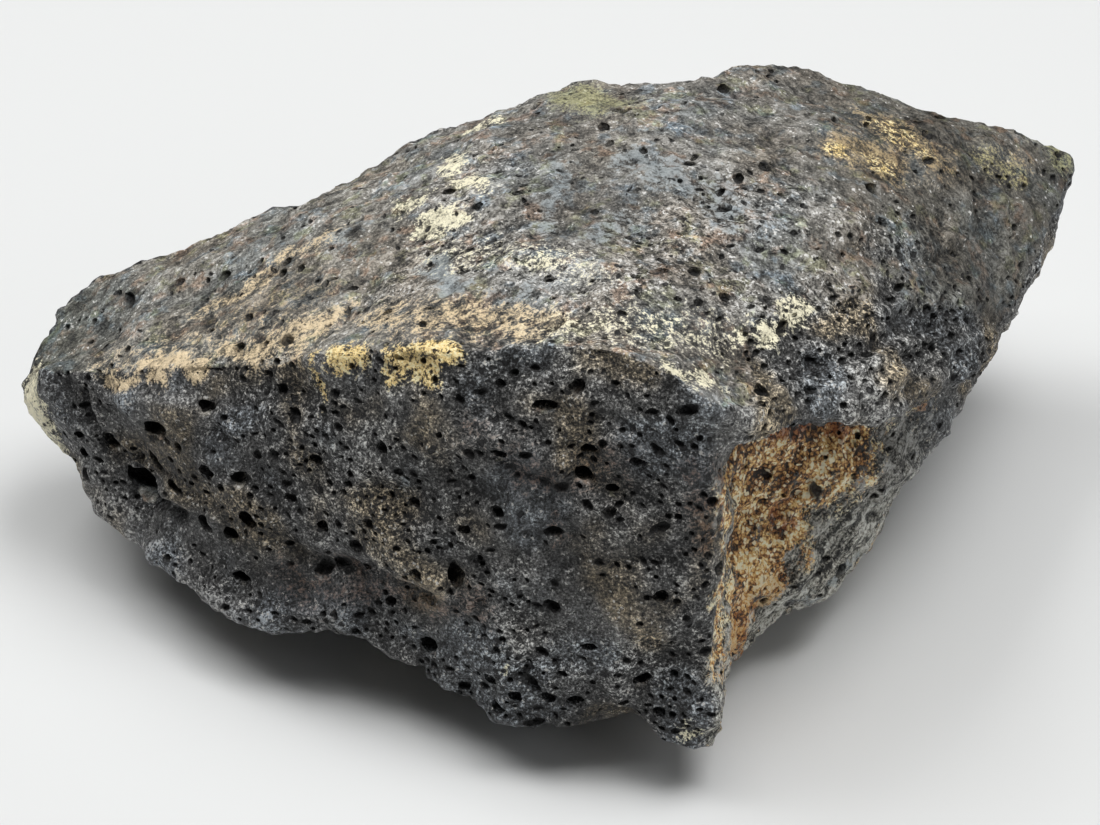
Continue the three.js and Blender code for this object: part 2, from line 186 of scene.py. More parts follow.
# Ridges (weight above zero) and grooves (below) too fine for the solid, in millimetres of height.
CREASES = marks(
    (0.6, 0.45, [(8, 46, 50), (9, 44, 44), (13, 38, 38), (17, 32, 38)]),
    (0.45, 0.35, [(10, 43, 44), (13, 39, 41), (16, 34, 41)]),
    (-0.9, 0.7, [(9, 43, 41), (13, 38, 34), (16, 34, 34)]),
    (-0.6, 0.5, [(7, 47, 52), (8, 45, 46), (11, 41, 41), (15, 35, 42)]),
    (-2, 1.7, [(55, 2, 10), (56, 3, 14)]),
    (0.5, 2, [(62.8, 2, 22), (62.8, 3, 34)]),
    (1.2, 2.4, [(7, 47, 24), (13, 37, 21), (18, 28, 20), (24, 22, 19)]),
    (-1.4, 5, [(40, 90, 45), (50, 92, 38)]),
    (-1.1, 3.5, [(80, 92, 45), (84, 92, 52)]),
    (0.9, 3, [(62, 94, 28), (66, 95, 50)]),
    (-1, 3, [(20, 72, 38), (26, 76, 48)]),
    (0.8, 2.2, [(30, 78, 30), (34, 82, 50), (36, 80, 66)]),
    (0.5, 1.2, [(10, 43, 56), (14, 38, 60), (18, 35, 62)]),
    (-0.5, 0.8, [(20, 34, 66), (25, 31, 72), (30, 27, 78)]),
    (-0.45, 0.5, [(43, 15, 77), (46, 14, 74), (49, 12, 71)]),
    (-0.7, 0.7, [(27, 23, 37), (31, 21, 37), (35, 18, 39), (39, 14, 38)]),
    (0.45, 0.9, [(27, 22, 42), (31, 20, 42), (35, 17, 44), (40, 13, 43)]),
    (-0.6, 0.6, [(83, 56, 78), (85, 60, 76), (87, 64, 73)]),
    (-1.5, 2.2, [(66, 20, 72), (70, 26, 68), (74, 31, 62), (77, 35, 58)]),
    (0.6, 1.6, [(65, 13, 86), (69, 20, 83), (73, 25, 78), (77, 31, 73)]),
    (0.5, 1.4, [(77, 31, 73), (81, 40, 67), (84, 47, 64)]),
    (0.6, 0.9, [(91, 76, 72), (91, 77, 72)]),
    (0.5, 0.8, [(85, 63, 77), (86, 64, 77)]),
    (0.45, 0.9, [(76, 62, 91), (77, 62, 91)]),
)

# Where small bubbles crowd ("dense") and where there are hardly any ("calm").
CROWDS = {
    "dense": marks(
        (1, 5, [(28, 26, 62), (33, 22, 62), (36, 18, 56)]),
        (0.9, 4, [(25, 25, 45), (32, 20, 52)]),
        (1.2, 3.2, [(42, 9, 22), (48, 5, 26), (56, 3, 26), (62, 2, 20)]),
        (0.9, 2, [(19, 27, 26), (24, 22, 21), (31, 18, 22), (42, 9, 18)]),
        (0.7, 4.5, [(53, 14, 84), (55, 11, 77), (57, 9, 70), (58, 6, 57)]),
        (0.8, 2, [(42, 14, 65), (41, 14, 57), (42, 13, 54)]),
        (0.7, 3, [(44, 11, 45), (46, 9, 38)]),
        (0.6, 3, [(5, 49, 50), (8, 44, 42), (10, 42, 29)]),
        (0.6, 3, [(60, 4, 39), (61, 5, 55)]),
        (0.9, 3, [(66, 22, 89), (70, 27, 86), (74, 33, 85), (79, 40, 77)]),
        (0.8, 2.4, [(79, 40, 77), (84, 47, 71), (87, 54, 69)]),
        (0.5, 2, [(55, 44, 97), (59, 46, 97)]),
        (0.5, 1.8, [(61, 58, 97), (67, 43, 95)]),
        (0.4, 1.8, [(67, 32, 92), (58, 32, 98)]),
    ),
    "calm": marks(
        (1, 4, [(14, 39, 59), (18, 35, 59)]),
        (1, 3, [(23, 25, 33), (27, 22, 32)]),
        (1, 4.5, [(46, 10, 53), (49, 8, 48), (52, 6, 40)]),
        (0.8, 3, [(39, 14, 34), (40, 11, 29)]),
    ),
}

# The larger bubbles: across and up on the side they open in, in hundredths of the box, their length
# and width in millimetres, and by how many degrees their length rises to the right.
Bubble = namedtuple("Bubble", "across up length width lean", defaults=(0,))
FRONT_BUBBLES = [Bubble(*row) for row in (
    (6.4, 40.8, 1.1, 1), (6.6, 34.2, 1.1, 1), (9.6, 42.1, 2.4, 1.4, -60), (12.3, 33.4, 3.4, 2, -35),
    (12.4, 40, 2.4, 1, -50), (14, 43.2, 2.1, 0.9, -50), (14.2, 52.9, 2, 1.8), (15.8, 40, 1.6, 1, -45),
    (16.5, 51.8, 1, 0.8, -40), (18.7, 35.8, 1.9, 1.2, -50), (19.3, 49.5, 1.6, 1.4), (19.4, 63.2, 1.3, 1.2),
    (21, 36.1, 1.5, 1.1, -30), (22.1, 50.5, 1.5, 1.3), (22.8, 42.1, 1.9, 1.5, -40),
    (21.8, 26.8, 1.7, 1.1, -20), (29.2, 61.1, 1.3, 0.8), (29.6, 45.8, 1.4, 1.1), (37.7, 44.7, 1.3, 1.1),
    (41, 45.5, 2.4, 1.5, 75), (41.9, 57.9, 1.2, 0.9, 30), (44.9, 76.1, 1.6, 0.9, -15),
    (44.8, 63.7, 1.2, 0.9), (48.8, 86.8, 2.6, 1, 5), (51.4, 91.3, 1.5, 1.2), (52.3, 79.5, 1.6, 1, 10),
    (51.8, 73.9, 2.1, 1.3, -15), (56.2, 79.2, 1.4, 0.9), (54.2, 71.8, 1.3, 0.9, -20),
    (54, 67.9, 1.2, 0.8, -20), (49.4, 60.8, 1.8, 1, 10), (58.2, 50.5, 1.5, 1, -25), (52.4, 35.5, 1.4, 0.8),
    (56.9, 28.7, 2, 1.2, 15), (38.8, 24.7, 1.8, 1.5, -45), (46.2, 22.4, 1.4, 1.1),
    (51.2, 22.6, 2.1, 0.9, 10), (44.8, 18.2, 1.3, 0.9, -20), (58.5, 22.1, 1.2, 1), (82.9, 71.8, 1.2, 1),
    (70.6, 84, 1.2, 0.9),
)]
BACK_BUBBLES = [Bubble(*row) for row in (
    (20.2, 39.5, 1.8, 1.3, 20), (36.3, 50, 1.6, 1.4), (45.9, 34.2, 2.2, 1.3, 30), (55.5, 57.9, 1.5, 1.2),
    (64.1, 36.8, 1.9, 1.4, -20), (76.9, 52.6, 1.6, 1.1, 10),
)]


# ---- What a user can change ----

class StoneShape(bpy.types.PropertyGroup):
    """Sizes of the stone's surface."""

    grain: FloatProperty(
        name="Grain", description="Cell size of the mesh that the surface is worked in",
        default=0.22 * MM, unit="LENGTH", precision=5)
    rounding: IntProperty(
        name="Rounding", description="How many times the solid's facets are smoothed", default=24)
    lumps: FloatProperty(
        name="Lumps", description="How strongly the surface is roughened", default=1.0)
    bubbles: IntProperty(
        name="Bubbles", description="How many small bubbles are tried all over the stone", default=14000)
    faces: IntProperty(
        name="Faces", description="How many triangles the finished stone has", default=196000)


def colour(name, words, value):
    return FloatVectorProperty(name=name, description=words, default=value, subtype="COLOR", min=0, max=1)


class StoneColours(bpy.types.PropertyGroup):
    """Colours of the stone's minerals."""

    matrix: colour("Matrix", "The dark glassy stone of the broken faces", (0.108, 0.107, 0.104))
    crust: colour("Crust", "The weathered grey-brown crust", (0.205, 0.197, 0.18))
    ash: colour("Ash", "The pale grains of the crust", (0.52, 0.51, 0.49))
    tan: colour("Tan", "The tan band along the shoulder", (0.73, 0.58, 0.37))
    gold: colour("Gold", "The mustard crystals", (0.76, 0.57, 0.25))
    cream: colour("Cream", "The cream and white blooms", (0.83, 0.78, 0.58))
    slate: colour("Slate", "The blue-grey patches", (0.29, 0.325, 0.34))
    rust: colour("Rust", "The rust in the hollow", (0.36, 0.165, 0.055))
    sulphur: colour("Sulphur", "The yellow-green patches", (0.42, 0.41, 0.2))
    ochre: colour("Ochre", "The soft brownish-yellow patches", (0.46, 0.33, 0.16))


class StageSettings(bpy.types.PropertyGroup):
    """The camera, the floor and the lights."""

    elevation: FloatProperty(
        name="Elevation", description="The camera's height above level, seen from the stone",
        default=math.radians(40), subtype="ANGLE")
    distance: FloatProperty(
        name="Distance", description="From the camera to its aim", default=0.24, unit="LENGTH")
    lens: FloatProperty(name="Lens", description="The camera's focal length in millimetres", default=92)
    floor: colour("Floor", "The pale floor", (0.8, 0.81, 0.81))


AIM = (49.1, 50, 42.1)  # the point of the stone's box that the camera looks at


# ---- Meshes ----

def new_object(name, mesh):
    piece = bpy.data.objects.new(name, mesh)
    bpy.context.collection.objects.link(piece)
    return piece


def with_modifiers(mesh, *modifiers):
    """A mesh after some modifiers, each given as its type and its settings."""
    piece = new_object("work", mesh)
    for kind, settings in modifiers:
        modifier = piece.modifiers.new(kind, kind)
        for name, value in settings.items():
            setattr(modifier, name, value)
    graph = bpy.context.evaluated_depsgraph_get()
    result = bpy.data.meshes.new_from_object(piece.evaluated_get(graph))
    bpy.data.objects.remove(piece)
    return result


def new_mesh(name, form):
    """A mesh made of a form, which is done with."""
    mesh = bpy.data.meshes.new(name)
    form.to_mesh(mesh)
    form.free()
    return mesh


def merged_copy(node):
    """A copy of a solid's mesh with its loose triangles joined up."""
    form = bmesh.new()
    form.from_mesh(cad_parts[node].data)
    bmesh.ops.remove_doubles(form, verts=form.verts, dist=MM / 1000)
    return new_mesh(node + "_copy", form)


def read(mesh, what):
    """The places ("co") or the normals ("normal") of a mesh's points, a row for each."""
    values = np.empty(len(mesh.vertices) * 3, np.float32)
    mesh.vertices.foreach_get(what, values)
    return values.reshape(-1, 3)


def point_tree(points):
    """Finds the points that lie near a place."""
    tree = kdtree.KDTree(len(points))
    for index, point in enumerate(points):
        tree.insert(point, index)
    tree.balance()
    return tree


def surface_tree(mesh):
    """Finds where a line meets a mesh, and the place on it that is nearest to a point."""
    return BVHTree.FromPolygons([v.co for v in mesh.vertices], [tuple(p.vertices) for p in mesh.polygons])


def ease(value, low, high):
    """0 below low, 1 above high and a smooth run between them. low may be the greater one."""
    share = np.clip((value - low) / (high - low), 0, 1)
    return share * share * (3 - 2 * share)


def near_route(points, mark):
    """How near each point is to a mark's route: 1 on it, falling off over its reach."""
    places = [np.array(spot(*place)) for place in mark.route]
    nearest = np.full(len(points), np.inf)
    for start, end in zip(places, places[1:]):
        way = end - start
        share = np.clip((points - start) @ way / max(way @ way, 1e-12), 0, 1)
        gap = np.linalg.norm(points - start - share[:, None] * way, axis=1)
        nearest = np.minimum(nearest, gap)
    return np.exp(-((nearest / (mark.reach * MM)) ** 2))


def marked(points, marks):
    """How strongly each point is marked."""
    strength = np.zeros(len(points))
    for mark in marks:
        strength = np.maximum(strength, mark.weight * near_route(points, mark))
    return strength


def shares(points):
    """The points as shares of the stone's box."""
    return (points - np.array(LOW)) / np.array(SPAN)


def noise_at(points, size, seed=0.0):
    """Smooth noise from -1 to 1 at each point, with lumps of a size in millimetres."""
    scaled = points / (size * MM) + seed
    return np.array([noise.noise(Vector(p)) for p in scaled])


def ragged(points, size, reach, seed=0.0):
    """The points, shaken about by noise, so that what is laid out from them gets a ragged outline."""
    scaled = points / (size * MM) + seed
    return points + np.array([noise.noise_vector(Vector(p)) for p in scaled]) * reach * MM


# ---- Zones ----

def crust_of(points, normals):
    """1 on the weathered crust, 0 on the broken faces."""
    edge = 0.07 * noise_at(points, 5, 3.0) + 0.04 * noise_at(points, 1.6, 9.0)
    right_end = 0.45 * ease(shares(points)[:, 0], 0.8, 0.9)
    return ease(normals[:, 2] + edge + right_end, 0.66, 0.84)


def hollow_of(points, normals):
    """1 in the broken hollow under the ledge."""
    place = shares(ragged(points, 2.4, 1.6, 81.0))
    facing = ease(normals[:, 0], 0.05, 0.35) * ease(normals[:, 2], 0.8, 0.62)
    right = ease(place[:, 0], 0.622, 0.638) * ease(place[:, 0], 0.86, 0.78)
    front = ease(place[:, 1], 0.62, 0.5)
    ledge = 0.81 - (place[:, 0] - 0.63) * 1.45
    return facing * right * front * ease(place[:, 2], ledge + 0.03, ledge - 0.05)


def band_of(points, normals):
    """1 on the dark roll of bubbly stone that the ledge is made of."""
    place = shares(points)
    fall = place[:, 0] * 0.7 - place[:, 1] * 0.62
    right = ease(place[:, 0], 0.62, 0.68)
    return right * ease(fall, 0.215, 0.32) * (1 - hollow_of(points, normals))


def porous_of(points):
    """Where small bubbles crowd, from 0 to 1."""
    crowd = 0.25 + 0.55 * noise_at(points, 6.5, 21.0) + 0.6 * noise_at(points, 2.4, 33.0)
    crowd += 0.75 * marked(points, CROWDS["dense"]) - 0.7 * marked(points, CROWDS["calm"])
    return np.clip(crowd, 0, 1)


# ---- Relief ----

def streaked(points, size, axis, stretch, seed=0.0):
    """Noise drawn out along an axis."""
    axis = np.array(axis) / np.linalg.norm(axis)
    along = (points @ axis)[:, None] * axis
    return noise_at(points - along * (1 - 1 / stretch), size, seed)


def layers(points, rows):
    """Noise of several sizes: each row gives a size and a height in millimetres."""
    return sum(height * noise_at(points, size, size * 7.3) for size, height in rows)


LEDGE_LINE = (0.62, 0.7, -0.3)  # the way the ledge and its ropy lines run
LEFT_DRIFT = (0.8, 0.5, 0.25)  # the way the crust's left part is combed
RIGHT_DRIFT = (0.75, -0.62, -0.1)  # the way its right part is combed
HOLLOW_GRAIN = (0.45, 0.35, 0.8)  # the way the hollow's wall is broken
LIP_FLOW = (0.6, 0.53, 0.59)  # the way the bare stone under the hollow runs


def clods(points, size, seed=0.0):
    """Rounded clods with creases between them, from about -0.5 to 0.5."""
    coarse, fine = (np.abs(noise_at(points, scale, seed)) for scale in (size, size * 0.45))
    return 0.5 - 1.6 * coarse - 0.6 * fine


def combed(points, size):
    """Fine furrows along the way each side of the crust is combed."""
    right = ease(shares(points)[:, 0], 0.45, 0.65)
    left_furrows = streaked(points, size, LEFT_DRIFT, 4, 2.0)
    return left_furrows * (1 - right) + streaked(points, size, RIGHT_DRIFT, 3, 4.0) * right


def relief(points, normals):
    """How far each point of the rounded body moves out, in millimetres."""
    crust = crust_of(points, normals)
    hollow = hollow_of(points, normals)
    band = band_of(points, normals)
    front = (1 - crust) * (1 - hollow)
    warped = ragged(points, 4, 1.5, 61.0)
    height = layers(warped, [(8.0, 0.55)]) + (1 - 0.35 * crust) * layers(warped, [(4.0, 0.45), (2.2, 0.25)])
    rough_crust = 0.26 * clods(warped, 2.8, 5.0) + 0.16 * combed(warped, 1.3) + 0.14 * clods(points, 1.1, 7.0)
    height += crust * (rough_crust + layers(points, [(0.7, 0.08)]))
    height += front * (0.4 * clods(warped, 5.0, 11.0) + layers(warped, [(1.3, 0.26), (0.7, 0.16)]))
    height += band * (0.6 * streaked(points, 1.0, LEDGE_LINE, 6, 6.0) + 0.3 * clods(points, 1.5, 17.0))
    grainy_wall = 0.26 * clods(points, 1.0, 41.0) + 0.34 * streaked(points, 1.2, LIP_FLOW, 4, 8.0)
    height += hollow * (grainy_wall + 0.45 * clods(warped, 2.6, 43.0))
    for mark in CREASES:
        height += mark.weight * near_route(points, mark)
    return height


def rounded_body(shape):
    """The solid with its facets smoothed, as a fine even mesh."""
    grain = shape.grain * 1
    rounding = max(4, round(shape.rounding * (shape.grain / grain)))
    return with_modifiers(
        merged_copy("stone"),
        ("REMESH", {"mode": "VOXEL", "voxel_size": grain}),
        ("SMOOTH", {"factor": 0.5, "iterations": rounding}),
    )


def roughened(body, shape):
    """A copy of the rounded body with its relief worked in, kept above the ground."""
    points, normals = read(body, "co"), read(body, "normal")
    moved = points + normals * (relief(points, normals) * shape.lumps * MM)[:, None]
    moved[:, 2] = np.maximum(moved[:, 2], 0)
    rough = body.copy()
    rough.vertices.foreach_set("co", moved.ravel())
    rough.update()
    return rough


# ---- Bubbles ----

Pocket = namedtuple("Pocket", "middle out along radii")
FINEST, WIDEST = 0.185, 0.55  # radii of the small bubbles, in millimetres
CLEARANCE = 0.9  # how far apart two bubbles stay, as a share of their radii together
MENDING_ROUNDS = 8


def surface_frame(out, lean):
    """The direction of a pocket's length on the surface, leaning from level."""
    level = Vector((0, 0, 1)).cross(out)
    if level.length < 0.2:
        level = Vector((1, 0, 0))
    level.normalize()
    return Matrix.Rotation(lean, 3, out) @ level


def large_pockets(tree):
    """The larger bubbles, each where a level line from in front or behind meets the stone."""
    pockets = []
    for bubbles, way in ((FRONT_BUBBLES, 1), (BACK_BUBBLES, -1)):
        for bubble in bubbles:
            start = spot(bubble.across, 50 - 100 * way, bubble.up)
            middle, out, _, _ = tree.ray_cast(start, Vector((0, way, 0)))
            if middle is None:
                raise RuntimeError(f"No stone behind the bubble at {bubble.across}, {bubble.up}")
            along = surface_frame(out, math.radians(bubble.lean))
            depth = min(bubble.width * 0.8, 1.2)
            pockets.append(Pocket(middle, out, along, (bubble.length / 2, bubble.width / 2, depth)))
    return pockets


def small_pockets(body, shape, rng):
    """Small bubbles strewn over the surface, crowded where it is porous."""
    points, normals = read(body, "co"), read(body, "normal")
    picks = np.array(rng.sample(range(len(points)), min(len(points), shape.bubbles)))
    points, normals = points[picks], normals[picks]
    crust, hollow = crust_of(points, normals), hollow_of(points, normals)
    band, porous = band_of(points, normals), porous_of(points)
    crowd = (1 - crust) * (0.1 + 0.9 * porous ** 1.5) + 0.05 * crust + 0.5 * (band + porous ** 2) * crust
    crowd *= 1 - 0.8 * hollow
    pockets = []
    for point, normal, chance in zip(points, normals, crowd):
        luck, size, draw, lean = (rng.random() for _ in range(4))
        if luck > chance:
            continue
        radius = min(WIDEST, FINEST * (1 - size) ** -0.33)
        stretch = 1 + draw * draw
        out = Vector(normal)
        along = surface_frame(out, math.radians(lean * 90 - 60))
        radii = (radius * stretch, radius, radius * 1.25)
        pockets.append(Pocket(Vector(point), out, along, radii))
    return pockets


def apart(pockets):
    """The pockets that keep clear of every earlier one."""
    tree = point_tree([pocket.middle for pocket in pockets])
    kept = set()
    widest = max(max(pocket.radii) for pocket in pockets)
    for index, pocket in enumerate(pockets):
        reach = max(pocket.radii)
        near = tree.find_range(pocket.middle, (reach + widest) * MM)
        if all(
            other not in kept or gap > CLEARANCE * (reach + max(pockets[other].radii)) * MM
            for _, other, gap in near
        ):
            kept.add(index)
    return [pockets[i] for i in sorted(kept)]


def pocket_matrix(pocket):
    along = pocket.along
    beside = pocket.out.cross(along)
    turn = Matrix((along, beside, pocket.out)).transposed().to_4x4()
    return Matrix.Translation(pocket.middle) @ turn @ Matrix.Diagonal((*(r * MM for r in pocket.radii), 1))


def cutters(pockets, rng):
    """One mesh of knobbly balls, a ball for each pocket."""
    ball = bmesh.new()
    bmesh.ops.create_icosphere(ball, subdivisions=3, radius=1)
    fine = new_mesh("ball", ball)
    form = bmesh.new()
    for pocket in pockets:
        one = fine.copy()
        shift = Vector((rng.random(), rng.random(), rng.random())) * 50
        for vertex in one.vertices:
            lump, knob = (noise.noise(vertex.co * scale + shift) for scale in (1.3, 3))
            vertex.co *= 1 + 0.3 * lump + 0.16 * knob
        one.transform(pocket_matrix(pocket))
        form.from_mesh(one)
        bpy.data.meshes.remove(one)
    return new_mesh("cutters", form)


def hollowed(rough, pockets, rng, shape):
    """The rough stone with its bubbles cut out, in as many triangles as the finished stone has."""
    tool = new_object("cutters", cutters(pockets, rng))
    cut = with_modifiers(
        rough,
        ("BOOLEAN", {"operation": "DIFFERENCE", "object": tool, "solver": "MANIFOLD"}),
        ("TRIANGULATE", {}),
    )
    bpy.data.objects.remove(tool)
    return with_modifiers(cut, ("DECIMATE", {"ratio": min(1.0, shape.faces / len(cut.polygons))}))


def mended(mesh):
    """The mesh with slivers dissolved, and with each edge of more than two faces opened and closed again."""
    form = bmesh.new()
    form.from_mesh(mesh)
    for _ in range(MENDING_ROUNDS):
        bmesh.ops.dissolve_degenerate(form, dist=MM / 50, edges=form.edges)
        crowded = {vertex for edge in form.edges if len(edge.link_faces) > 2 for vertex in edge.verts}
        spoilt = {face for vertex in crowded for face in vertex.link_faces}
        bmesh.ops.delete(form, geom=list(spoilt), context="FACES")
        bmesh.ops.delete(form, geom=[edge for edge in form.edges if edge.is_wire], context="EDGES")
        loose = [vertex for vertex in form.verts if not vertex.link_faces]
        bmesh.ops.delete(form, geom=loose, context="VERTS")
        rims = [edge for edge in form.edges if edge.is_boundary]
        if not rims:
            break
        bmesh.ops.holes_fill(form, edges=rims, sides=0)
        stubborn = [edge for edge in form.edges if edge.is_boundary]
        if stubborn:
            bmesh.ops.edgeloop_fill(form, edges=stubborn)
        bmesh.ops.triangulate(form, faces=[face for face in form.faces if len(face.verts) > 3])
    form.to_mesh(mesh)
    form.free()
    return mesh


def in_one_piece(mesh):
    """The mesh without the crumbs that the cutting left loose."""
    form = bmesh.new()
    form.from_mesh(mesh)
    waiting = set(form.verts)
    groups = []
    while waiting:
        group, reached = set(), [waiting.pop()]
        while reached:
            vertex = reached.pop()
            group.add(vertex)
            for link in vertex.link_edges:
                other = link.other_vert(vertex)
                if other in waiting:
                    waiting.remove(other)
                    reached.append(other)
        groups.append(group)
    groups.sort(key=len)
    crumbs = [vertex for group in groups[:-1] for vertex in group]
    bmesh.ops.delete(form, geom=crumbs, context="VERTS")
    form.to_mesh(mesh)
    form.free()
    return mesh


# ---- What the material reads from the mesh ----

def pit_depths(points, pockets):
    """How deep inside a bubble each point is, from 0 outside to 1 well inside."""
    tree = point_tree(points)
    depth = np.zeros(len(points))
    for pocket in pockets:
        inverse = pocket_matrix(pocket).inverted()
        for place, index, _ in tree.find_range(pocket.middle, 1.3 * max(pocket.radii) * MM):
            local = inverse @ place
            inside = max(0.0, -local.z) * 1.3 + 0.15 if local.length < 1.25 and local.z < 0.1 else 0.0
            depth[index] = max(depth[index], min(1.0, inside))
    return depth


def store(mesh, name, *channels):
    """Keeps up to three values of each point as a colour attribute."""
    values = np.ones((len(mesh.vertices), 4), np.float32)
    for i, channel in enumerate(channels):
        values[:, i] = channel
    attribute = mesh.attributes.new(name, "FLOAT_COLOR", "POINT")
    attribute.data.foreach_set("color", values.ravel())


def painted(mesh, body, pockets):
    """Stores the zones, the stains and the height of every point on the finished mesh."""
    tree = surface_tree(body)
    points = read(mesh, "co")
    base, normals, heights = np.empty_like(points), np.empty_like(points), np.empty(len(points))
    for index, vertex in enumerate(mesh.vertices):
        place, normal, _, _ = tree.find_nearest(vertex.co)
        base[index], normals[index] = place, normal
        heights[index] = (vertex.co - place).dot(normal) / MM
    crust, hollow = crust_of(base, normals), hollow_of(base, normals)
    shaken = ragged(ragged(base, 2.6, 1.6, 71.0), 0.9, 0.8, 73.0)
    store(mesh, "zones", crust, hollow, porous_of(base))
    # raised and the pit depths feed painted shade: the material darkens the relief's low spots and lightens
    # its high ones, and paints the bubbles near black inside
    raised = 0.5 + 0.5 * np.clip(heights, -1, 1)
    store(mesh, "form", raised, pit_depths(points, pockets), band_of(base, normals))
    store(mesh, "warm_stains", *(marked(shaken, STAINS[kind]) for kind in ("tan", "gold", "cream")))
    store(mesh, "cool_stains", *(marked(shaken, STAINS[kind]) for kind in ("slate", "rust", "sulphur")))
    store(mesh, "coats", *(marked(shaken, HOLLOW[kind]) for kind in ("golden", "bare", "maroon_and_shade")))
    store(mesh, "frosts", marked(shaken, FROSTS), marked(shaken, STAINS["ochre"]))
    broad = noise_at(base, 7, 51.0) + 0.4 * noise_at(base, 3, 53.0)
    tones = broad, noise_at(base, 1.8, 55.0), combed(base, 0.9)
    store(mesh, "mottle", *(np.clip(0.5 + 0.8 * tone, 0, 1) for tone in tones))


# ---- Shader maths ----

class Value:
    """An output of a node, which Python's operators turn into Math nodes."""

    def __init__(self, nodes, socket):
        self.nodes = nodes
        self.socket = socket

    def _math(self, operation, *values):
        return self.nodes.make("ShaderNodeMath", {"operation": operation}, dict(enumerate(values)))

    def __add__(self, other):
        return self._math("ADD", self, other)

    def __radd__(self, other):
        return self._math("ADD", other, self)

    def __sub__(self, other):
        return self._math("SUBTRACT", self, other)

    def __rsub__(self, other):
        return self._math("SUBTRACT", other, self)

    def __mul__(self, other):
        return self._math("MULTIPLY", self, other)

    def __rmul__(self, other):
        return self._math("MULTIPLY", other, self)

    def __truediv__(self, other):
        return self._math("DIVIDE", self, other)

    def __pow__(self, other):
        return self._math("POWER", self, other)

    def at_least(self, other):
        return self._math("MAXIMUM", self, other)

    def at_most(self, other):
        return self._math("MINIMUM", self, other)


class Nodes:
    """Makes the nodes of one material."""

    def __init__(self, material):
        material.use_nodes = True
        self.tree = material.node_tree
        self.tree.nodes.clear()

    def make(self, kind, settings=None, inputs=None, output=0):
        """A node of a type, its settings first, then its sockets' values or links; one of its outputs."""
        node = self.tree.nodes.new(kind)
        for name, value in (settings or {}).items():
            if name == "stops":
                self._stops(node.color_ramp, value)
            else:
                setattr(node, name, value)
        for key, value in (inputs or {}).items():
            if isinstance(value, Value):
                self.tree.links.new(value.socket, node.inputs[key])
            else:
                node.inputs[key].default_value = value
        return Value(self, node.outputs[output]) if node.outputs else None

    def _stops(self, ramp, stops):
        while len(ramp.elements) < len(stops):
            ramp.elements.new(1.0)
        for element, (position, shade) in zip(ramp.elements, stops):
            element.position = position
            element.color = (*shade, 1)

    def step(self, value, low, high):
        """0 to 1 as a value runs from low to high, smoothly."""
        return self.make(
            "ShaderNodeMapRange", {"interpolation_type": "SMOOTHSTEP"},
            {"Value": value, "From Min": low, "From Max": high})

    def blend(self, under, over, share, way="MIX"):
        """One colour over another."""
        under, over = (c if isinstance(c, Value) else (*c, 1) for c in (under, over))
        return self.make(
            "ShaderNodeMix", {"data_type": "RGBA", "blend_type": way, "clamp_factor": True},
            {0: share, 6: under, 7: over}, output=2)

    def noise(self, place, scale, detail=2.0, rough=0.55, output="Fac", **more):
        return self.make(
            "ShaderNodeTexNoise", {},
            {"Vector": place, "Scale": scale, "Detail": detail, "Roughness": rough, **more}, output)

    def cells(self, place, scale):
        """The distance to the middle of a random cell, and the cell's random colour."""
        gap = self.make("ShaderNodeTexVoronoi", {}, {"Vector": place, "Scale": scale}, "Distance")
        return gap, Value(self, gap.socket.node.outputs["Color"])

    def vector(self, operation, *vectors, **more):
        inputs = {**dict(enumerate(vectors)), **more}
        return self.make("ShaderNodeVectorMath", {"operation": operation}, inputs)

    def ramp(self, value, stops):
        """A colour that runs through the stops, each a value and its colour."""
        return self.make("ShaderNodeValToRGB", {"stops": stops}, {"Fac": value})

    def split(self, value, kind="ShaderNodeSeparateColor"):
        """The three channels of a colour, or the three sides of a vector."""
        node = self.make(kind, {}, {0: value}).socket.node
        return [Value(self, node.outputs[i]) for i in range(3)]

    def attribute(self, name):
        """The three values that the mesh keeps under a name."""
        return self.split(self.make("ShaderNodeAttribute", {"attribute_name": name}))


def shade_of(tint, factor):
    return tuple(min(1.0, c * factor) for c in tint)


def tinted(nodes, under, *rows):
    """A colour with tints multiplied in, each row giving a tint and its share."""
    for tint, share in rows:
        under = nodes.blend(under, tint, share, "MULTIPLY")
    return under


def grown(nodes, at, amount, low=0.45, high=0.8, fineness=1.0):
    """A stain's share: its soft amount broken up into flecks, and none where there is no stain."""
    flecks = nodes.step(amount + at.ragged * 2.0 + at.grit * (1.8 * fineness), low, high)
    return flecks * nodes.step(amount, 0.04, 0.22)


def pores(nodes, place, scale, widest, crowd):
    """Round pin-holes: how open each point is, from 0 to 1."""
    gap, lots = nodes.cells(place, scale)
    size, luck, _ = nodes.split(lots)
    radius = widest * (0.42 + 0.58 * size ** 1.5)
    return nodes.step((radius - gap / scale) / widest, 0.0, 0.3) * nodes.step(crowd - luck, -0.04, 0.04)


def drawn_noise(nodes, place, drift, stretch, scale, detail, rough):
    """Noise drawn out along a drift."""
    across, along, up = drift
    turn = (0, -math.atan2(up, math.hypot(across, along)), math.atan2(along, across))
    turned = nodes.make(
        "ShaderNodeMapping", {"vector_type": "TEXTURE"},
        {"Vector": place, "Rotation": turn, "Scale": (stretch, 1, 1)})
    return nodes.noise(turned, scale, detail, rough)


